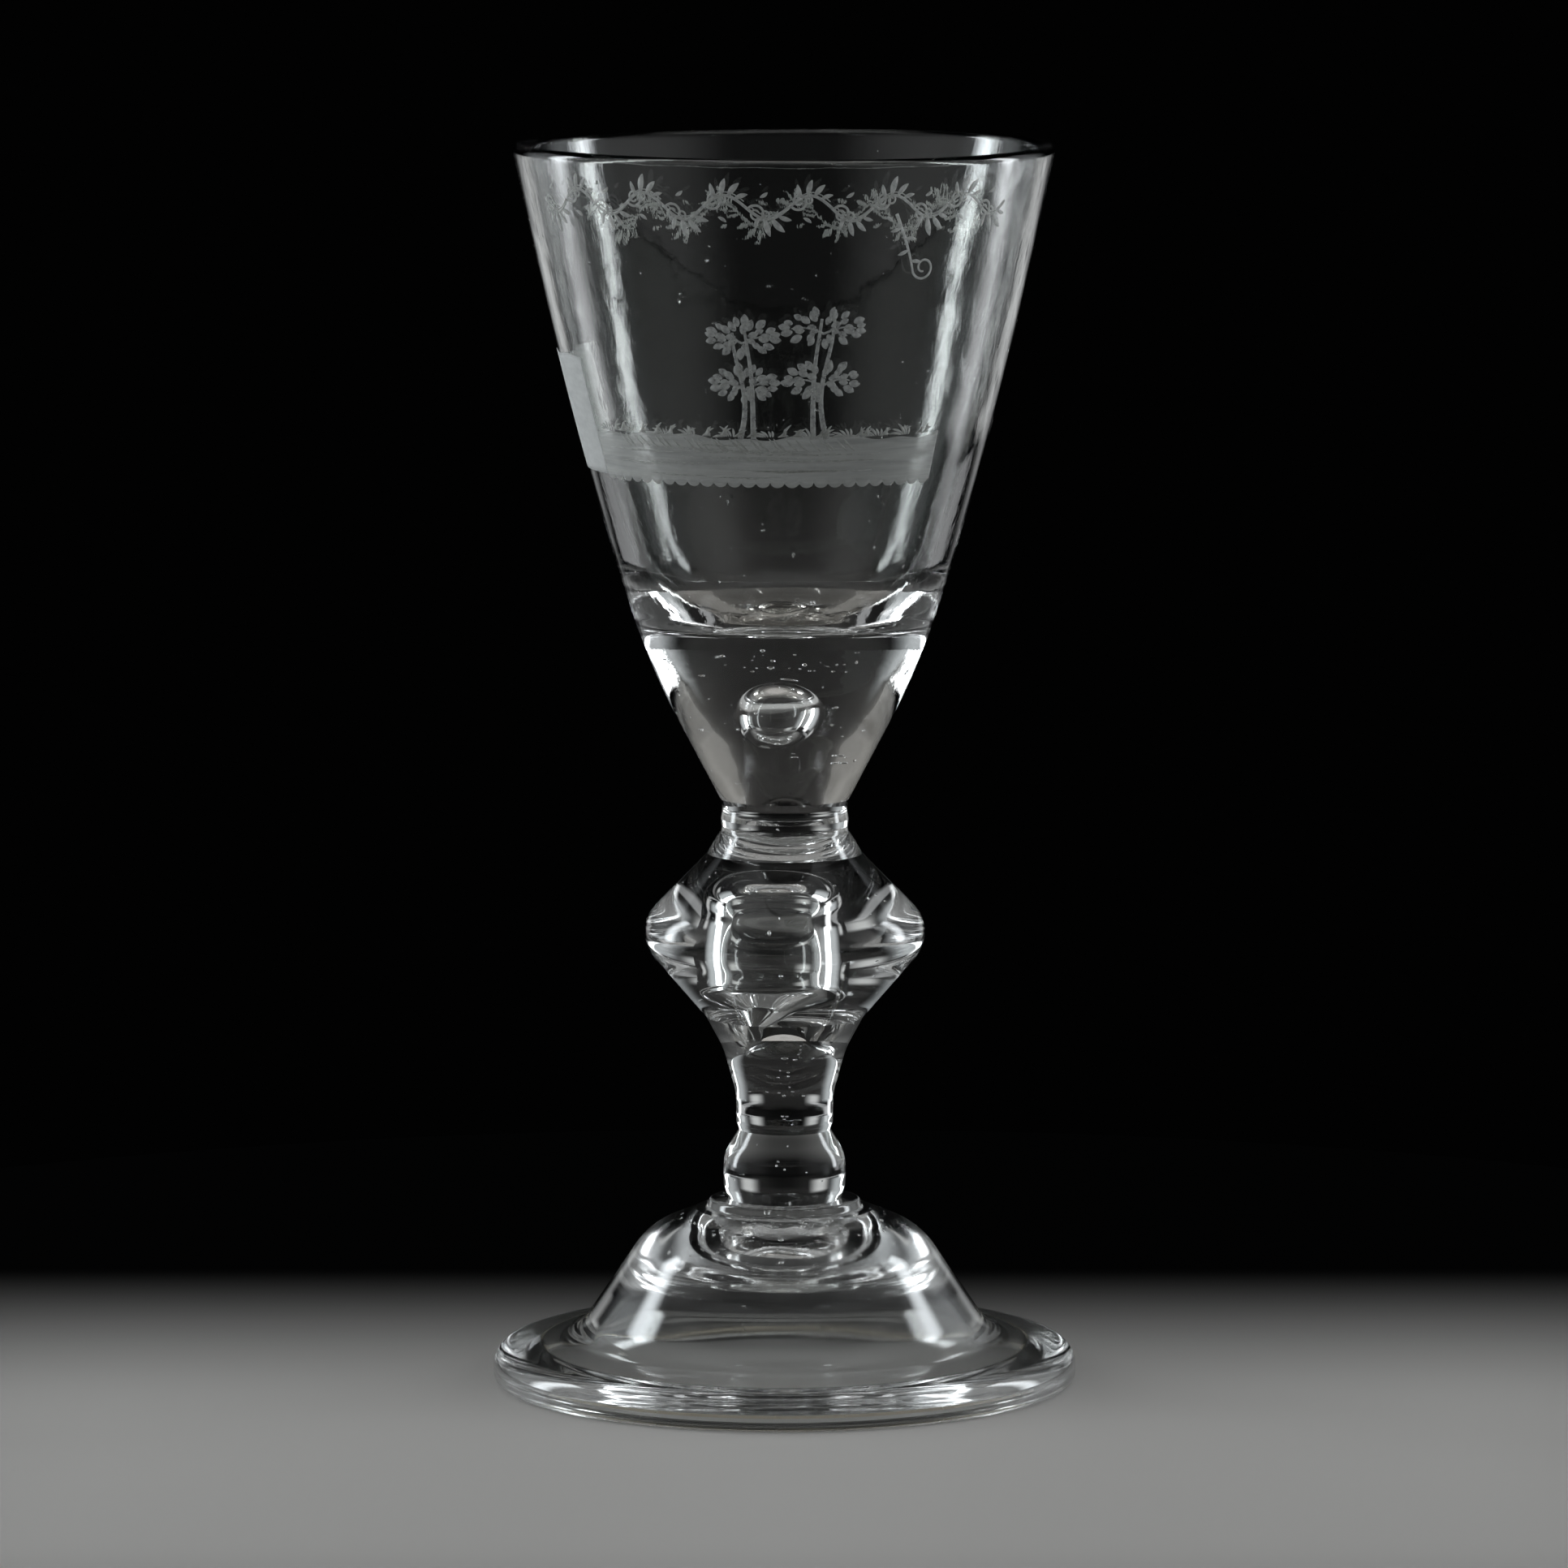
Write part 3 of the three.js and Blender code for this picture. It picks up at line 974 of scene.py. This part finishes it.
def curlPath(x, y, heading, radius, turns, tighten, steps):
    # A spiral from a point, turning left if turns is above 0
    path = []
    total = abs(turns) * 2 * pi
    for i in range(steps + 1):
        share = i / steps
        path.append((x, y))
        r = radius * (1 - tighten * share)
        step = total / steps * r
        heading += copysign(total / steps, turns)
        x += cos(heading) * step
        y += sin(heading) * step
    return path


scrollSet = {
    # two garlands: angles from the front, height of the middle, bays
    "garlands": (
        {"from": -63, "to": 56, "middle": 168.5, "bays": 13},
        {"from": 124, "to": 238, "middle": 162.4, "bays": 12},
    ),
    "swing": 1.7, "leaf": (2.5, 0.85), "tendrilAt": 25,
    "line": (0.42, 0.42), "twin": (0.15, 0.15),                 # widths at both ends
    "curl": (1.25, 1.35, 0.7, 36), "curlLine": (0.36, 0.24),    # radius, turns, tightening, steps
    "backCurl": (0.62, 1.1, 0.6, 26), "backLine": (0.3, 0.2),
    "endCurl": (1.7, 1.25, 0.72, 44), "endLine": (0.34, 0.26),
    # place along the bay, heading and size of each leaf of a spray
    "spray": ((0.3, 2.05, 0.75), (0.45, 1.5, 1.0), (0.6, 1.0, 0.95), (0.75, 0.5, 0.75)),
    "tendrilLeaves": ((5, -2.7), (9, 0.1), (13, -2.6), (17, 0.0)),
}


def addCurl(body, x, y, heading, curl, widths, angle, side=1):
    radius, turns, tighten, steps = curl
    addStroke(body, curlPath(x, y, heading, radius, side * turns, tighten, steps), widths, angle)


def makeScrollBand():
    # A running leaf scroll under the rim: a wave, with a curl in each bay and a spray on each crest
    body = newBody()
    scroll = scrollSet
    length, width = scroll["leaf"]
    for garland in scroll["garlands"]:
        middle = garland["middle"]
        step = (garland["to"] - garland["from"]) / garland["bays"]
        bay = radians(step) * outsideRadius(middle)
        for n in range(garland["bays"]):
            angle = garland["from"] + step * n
            sign = 1 if n % 2 else -1
            rise = sign * scroll["swing"] * (0.85 + 0.3 * drawDice.random())
            wave = [(x, middle + rise * sin(pi * x / bay)) for x in np.linspace(0, bay, 15)]
            addStroke(body, wave, scroll["line"], angle)
            addStroke(body, [(x + 0.25, y + 0.45) for x, y in wave[1:-1]], scroll["twin"], angle)
            start = (bay * 0.06, middle + rise * 0.1, -sign)
            addCurl(body, *start, scroll["curl"], scroll["curlLine"], angle, sign)
            start = (bay * 0.5, middle + rise * 0.95, -sign * 0.5)
            addCurl(body, *start, scroll["backCurl"], scroll["backLine"], angle, -sign)
            addLeaf(body, bay * 0.34, middle - sign * 1.4, -sign * 0.35, 1.3, 0.5, angle, bend=-sign * 0.5)
            for share, turn, size in scroll["spray"]:
                x, y = bay * share, middle + rise * sin(pi * share)
                size *= 0.85 + 0.3 * drawDice.random()
                addLeaf(body, x, y, sign * turn, length * size, width * size, angle, bend=-sign * 0.4)
    at = scroll["tendrilAt"]
    low = scroll["garlands"][0]["middle"] - 1
    fall = [(1.1 * sin(t * 1.6) + 2.2 * t, low - 8.2 * t) for t in np.linspace(0, 1, 22)]
    addStroke(body, fall, (0.5, 0.3), at)
    addCurl(body, *fall[-1], -1.2, scroll["endCurl"], scroll["endLine"], at)
    for t, turn in scroll["tendrilLeaves"]:
        addLeaf(body, *fall[t], turn, 1.7, 0.55, at, bend=-0.3)
    finishEngraving("engraved_scroll", body, frostLine)


treeSet = {
    "foot": 136.2,
    "trees": (
        # angle from the front, height, crown heights, half widths, trunk bow
        {"angle": -10, "height": 16.4, "crowns": (7.4, 13.9), "spread": (4.4, 4.9), "bow": 0.5},
        {"angle": 9.5, "height": 18.4, "crowns": (8.0, 15.3), "spread": (5.2, 6.0), "bow": -0.6},
    ),
    "trunkGap": 1.8, "trunk": (0.782, 0.408),
    "leaf": (1.5, 0.98), "branch": (0.34, 0.16),
    # share of the spread, height, leaves and their size in each ring of a crown
    "crownRings": ((0.78, 1.5, 15, 1.0), (0.48, 0.95, 11, 1.0), (0.18, 0.45, 5, 0.95)),
}


def addCrown(body, x, y, spread, angle):
    # A flat loose crown: leaves point away from the middle, in three rings
    length, width = treeSet["leaf"]
    for share, flat, count, size in treeSet["crownRings"]:
        for i in range(count):
            around = 2 * pi * (i + 0.6 * drawDice.random()) / count
            lx = x + spread * share * cos(around)
            ly = y + flat * sin(around) + 0.35
            heading = atan2(sin(around) * 0.5 + 0.05, cos(around))
            grown = size * (0.82 + 0.36 * drawDice.random())
            bend = 0.5 * (drawDice.random() - 0.5)
            addLeaf(body, lx, ly, heading, length * grown, width * grown, angle, bend)
    for side in (-1, 1):
        reach = side * spread * 0.75
        branch = [(x + reach * t, y - 0.5 + 0.9 * sin(t * 2.2)) for t in np.linspace(0, 1, 9)]
        addStroke(body, branch, treeSet["branch"], angle)


def makeTrees():
    body = newBody()
    foot = treeSet["foot"]
    for tree in treeSet["trees"]:
        for side in (-1, 1):
            lean = side * treeSet["trunkGap"] / 2
            trunk = []
            for t in np.linspace(0, 1, 16):
                apart = lean * (1 - 0.35 * sin(t * 5.2)) * (1 - 0.25 * t)
                trunk.append((tree["bow"] * sin(t * 4.4) + apart, foot + t * (tree["height"] - 1.5)))
            addStroke(body, trunk, treeSet["trunk"], tree["angle"])
        for height, spread in zip(tree["crowns"], tree["spread"]):
            addCrown(body, 0, foot + height, spread, tree["angle"])
    finishEngraving("engraved_trees", body, frostGrain)


groundSet = {
    "top": 136.4, "bottom": 130.2, "from": -62, "to": 46,
    "scallop": 2.0, "scallopDepth": 0.85,
    "blockFrom": -112, "blockTop": 146.4,
    "grass": 30, "lines": 15, "cuts": 26,
}


def addPatch(body, fromAngle, toAngle, lowEdge, highEdge, step=0.75, rows=8):
    # A frosted area between two edges, which are heights as functions of the angle
    columns = max(2, ceil((toAngle - fromAngle) / step))
    angles = [fromAngle + (toAngle - fromAngle) * i / columns for i in range(columns + 1)]
    grid = []
    for k in range(rows + 1):
        grid.append([(0, lowEdge(a) + (highEdge(a) - lowEdge(a)) * k / rows, a) for a in angles])
    addSheet(body, grid, strokeSet["patchLift"])


def makeGround():
    body = newBody()
    ground = groundSet
    pitch = degrees(ground["scallop"] / outsideRadius(ground["bottom"]))

    def hem(angle):
        share = ((angle - ground["from"]) / pitch) % 1
        return ground["bottom"] - ground["scallopDepth"] * sqrt(max(0, 1 - (2 * share - 1) ** 2))

    def brow(angle):
        return ground["top"] + 0.35 * sin(angle / 7) + 0.2 * sin(angle / 2.3)

    addPatch(body, ground["from"], ground["to"], hem, brow, step=0.4)
    finishEngraving("engraved_ground", body, frostHatch)
    block = newBody()
    addPatch(block, ground["blockFrom"], ground["from"], lambda a: ground["bottom"] - 0.2,
             lambda a: ground["blockTop"] + 0.15 * sin(a / 3), rows=20)
    finishEngraving("engraved_block", block, frostBlock)


def makeGrass():
    # Tufts on the brow, long level cuts through the band, and slanted cuts where it meets the tufts
    body = newBody()
    ground = groundSet
    for n in range(ground["lines"]):
        start = ground["from"] + 3 + drawDice.random() * 60
        length = 6 + 16 * drawDice.random()
        height = ground["bottom"] + 0.3 + (ground["top"] - ground["bottom"] - 1.4) * drawDice.random()
        slope = 0.02 * (drawDice.random() - 0.5)
        path = [(x, height + slope * x + 0.05 * sin(x)) for x in np.linspace(0, length, 14)]
        addStroke(body, path, leafWidths(0.24, 13), start)
    for n in range(ground["grass"]):
        along = (n + drawDice.random()) / ground["grass"]
        angle = ground["from"] + 4 + (ground["to"] - ground["from"] - 7) * along
        side = -1 if n % 3 else 1
        for k in range(5):
            heading = pi / 2 + side * (1.15 - 0.38 * k) + 0.2 * drawDice.random()
            length = (1.2 + 1.0 * drawDice.random()) * (1 if k < 3 else 0.7)
            addLeaf(body, 0.3 * k, ground["top"] + 0.1, heading, length, 0.34, angle, bend=side * 0.7)
    for n in range(ground["cuts"]):
        angle = ground["from"] + 14 + 70 * n / ground["cuts"] + 2 * drawDice.random()
        addLeaf(body, 0, ground["top"] - 1.9, 2.5, 2.6, 0.36, angle, bend=-0.3)
    finishEngraving("engraved_grass", body, frostLine)


frostLine = frostMaterial("frostLine", 0.4, 0.85, 900, (1, 1, 1), (0.86, 0.87, 0.85, 1))
frostGrain = frostMaterial("frostGrain", 0.25, 0.6, 1100, (1, 1, 1))
frostHatch = frostMaterial("frostHatch", 0.36, 0.8, 60, (1, 1, 16), (0.86, 0.87, 0.85, 1))
frostBlock = frostMaterial("frostBlock", 0.8, 0.98, 240, (1, 1, 2.5), (0.97, 0.98, 0.97, 1))
makeScrollBand()
makeTrees()
makeGround()
makeGrass()
print("engraving made")


# Stage: a floor with a painted pool of light, pale round the glass and painted dark farther off and just
# behind it, in a dark room, with two large soft lamps at the sides, small low ones for the foot and the
# bowl, and two that lie on the table

stageSet = {
    "floor": 220, "floorRings": 40, "floorFaces": 128, "roughness": 0.6, "gloss": 0.4,
    "pale": (0.75, 0.72, 0.69, 1), "dark": (0.002, 0.002, 0.002, 1),
    "backPaintedLightEdge": (-38, 90), "sidePaintedLightEdge": (90, 218), "frontPaintedLightEdge": (110, 218),    # where the pale colour ends
    "room": 0.0006, "frontGlow": 0.06, "sideGlow": 0.4, "topGlow": 0.4, "roomColour": (0.97, 0.99, 1, 1),
}
# Lamps: azimuth from the camera towards the right, height of the middle, width and length, brightness,
# the bright stripe's place from the front edge and its width as shares, the dim glow before and behind it,
# and how far from the middle the ends begin to die away
lampsAway = 640       # from the glass
boxLamp = {"azimuth": 118, "middle": 265, "size": (720, 600), "front": 0.03, "endsFrom": 0.4}
plainLamp = {"stripeAt": 0.5, "stripe": 0.5, "front": 0, "haze": 0}
footLamp = {
    **plainLamp, "azimuth": 116, "middle": -50, "size": (250, 210), "glow": 1.8,
    "endsFrom": 0.1, "colour": (0.95, 0.97, 1.0),
}
lowLamp = {
    **plainLamp, "azimuth": 152, "middle": 42, "size": (270, 180), "glow": 0.55,
    "endsFrom": 0.15, "colour": (0.97, 0.99, 1.0),
}


def mirrored(lamp):
    return {**lamp, "azimuth": -lamp["azimuth"]}


lampSet = {
    "leftBox": {
        **mirrored(boxLamp), "glow": 9.5, "stripeAt": 0.35, "stripe": 0.15, "haze": 0.06,
        "colour": (0.90, 0.96, 1.0),
    },
    "rightBox": {
        **boxLamp, "glow": 8.5, "stripeAt": 0.36, "stripe": 0.14, "haze": 0.065,
        "colour": (0.91, 0.96, 1.0),
    },
    "leftFoot": mirrored(footLamp),
    "rightFoot": footLamp,
    "leftLow": mirrored(lowLamp),
    "rightLow": lowLamp,
}
tableLamp = {
    "beside": 200, "behind": 265, "lift": 1, "size": (90, 370), "glow": 0.3, "colour": (0.95, 0.97, 1.0),
}


def keptWithin(tree, value, limits):
    return addRange(tree, value, limits[0] * mm, limits[1] * mm, 1, 0, soft=True)


def makeFloor():
    rings = np.linspace(0, stageSet["floor"], stageSet["floorRings"] + 1)
    points, faces, _ = turnedShell([(radius, 0) for radius in rings], count=stageSet["floorFaces"])
    mesh = bpy.data.meshes.new("paleFloor")
    # The faces look up, so all corners but the first are turned round
    mesh.from_pydata((points * mm).tolist(), [], [face[:1] + face[:0:-1] for face in faces])
    floor = bpy.data.objects.new("paleFloor", mesh)
    scene.collection.objects.link(floor)
    material = bpy.data.materials.new("paleFloor")
    material.use_nodes = True
    tree = material.node_tree
    matt = tree.nodes["Principled BSDF"]
    matt.inputs["Roughness"].default_value = stageSet["roughness"]
    # Painted pool of light: the floor's colour is pale near the glass and painted dark beyond these limits,
    # also just behind the glass, and its gloss fades out with it
    x, y, _ = splitPlace(tree, objectPlace(tree))
    sideways, forward = addMath(tree, "ABSOLUTE", x), multiply(tree, y, -1)
    ends = ((y, "backPaintedLightEdge"), (sideways, "sidePaintedLightEdge"), (forward, "frontPaintedLightEdge"))
    paintedLightPool = multiply(tree, *[keptWithin(tree, value, stageSet[limits]) for value, limits in ends])
    fade = addMath(tree, "SUBTRACT", 1, paintedLightPool)
    nodeLink(tree, mixColours(tree, fade, stageSet["pale"], stageSet["dark"]), matt.inputs["Base Color"])
    nodeLink(tree, addRange(tree, fade, 0, 1, stageSet["gloss"], 0), matt.inputs["Specular IOR Level"])
    mesh.materials.append(material)


def newLamp(name, settings):
    # Returns the lamp, its nodes, and the place across and along its face from 0 to 1
    data = bpy.data.lights.new(name, "AREA")
    data.shape = "RECTANGLE"
    data.size, data.size_y = settings["size"][0] * mm, settings["size"][1] * mm
    data.energy = settings["glow"] * data.size * data.size_y * pi    # watts for this brightness
    data.color = settings["colour"]
    data.use_nodes = True
    tree = data.node_tree
    across, along, _ = splitPlace(tree, newNode(tree, "NewGeometry").outputs["Parametric"])
    lamp = bpy.data.objects.new(name, data)
    lamp.visible_camera = False
    scene.collection.objects.link(lamp)
    return lamp, tree, across, along


def offMiddle(tree, value):
    return addMath(tree, "ABSOLUTE", addMath(tree, "SUBTRACT", value, 0.5))


def makeLamp(name, settings):
    lamp, tree, across, along = newLamp(name, settings)
    if settings["azimuth"] < 0:
        across = addMath(tree, "SUBTRACT", 1, across)
    beside = addMath(tree, "SUBTRACT", across, settings["stripeAt"])
    sideways = addMath(tree, "ABSOLUTE", beside)
    stripe = addRange(tree, sideways, 0.1 * settings["stripe"], settings["stripe"], 1, 0, soft=True)
    haze = addRange(tree, beside, -0.05, 0.05, settings["front"], settings["haze"], soft=True)
    for span in ((0, 0.2, 0, 1), (0.6, 0.95, 1, 0)):      # it dies away towards both edges
        haze = multiply(tree, haze, addRange(tree, across, *span, soft=True))
    ends = addRange(tree, offMiddle(tree, along), settings["endsFrom"], 0.5, 1, 0, soft=True)
    strength = multiply(tree, addMath(tree, "ADD", stripe, haze), ends)
    nodeLink(tree, strength, tree.nodes["Emission"].inputs["Strength"])
    turn = radians(settings["azimuth"])
    away = lampsAway * mm
    lamp.location = (away * sin(turn), -away * cos(turn), settings["middle"] * mm)
    lamp.rotation_euler = (radians(90), 0, turn)


def makeTableLamp(name, side):
    # A long soft lamp lying on the table beside and behind the glass
    lamp, tree, across, along = newLamp(name, tableLamp)
    parts = [addRange(tree, offMiddle(tree, value), soft, 0.5, 1, 0, soft=True)
             for value, soft in ((across, 0.2), (along, 0.3))]
    nodeLink(tree, multiply(tree, *parts), tree.nodes["Emission"].inputs["Strength"])
    lamp.location = (side * tableLamp["beside"] * mm, tableLamp["behind"] * mm, tableLamp["lift"] * mm)
    lamp.rotation_euler = (pi, 0, 0)


def makeRoom():
    world = bpy.data.worlds.new("darkRoom")
    scene.world = world
    world.use_nodes = True
    tree = world.node_tree
    x, y, z = splitPlace(tree, newNode(tree, "TexCoord").outputs["Generated"])
    sideways, glows = addMath(tree, "ABSOLUTE", x), (stageSet["frontGlow"], stageSet["sideGlow"])
    glow = addRange(tree, sideways, 0.35, 0.95, *glows, soft=True)
    # No glow behind the glass or below the table, and less of it low down
    for look, span in ((y, (-0.1, 0.35, 1, 0)), (z, (-0.22, -0.02, 0, 1)), (z, (0.14, 0.32, 0.7, 1))):
        glow = multiply(tree, glow, addRange(tree, look, *span, soft=True))
    above = addRange(tree, z, 0.8, 0.96, stageSet["room"], stageSet["topGlow"], soft=True)
    background = tree.nodes["Background"]
    nodeLink(tree, addMath(tree, "ADD", glow, above), background.inputs["Strength"])
    background.inputs["Color"].default_value = stageSet["roomColour"]


makeFloor()
for lampName, lampSettings in lampSet.items():
    makeLamp(lampName, lampSettings)
makeTableLamp("leftTable", -1)
makeTableLamp("rightTable", 1)
makeRoom()
print("stage made")
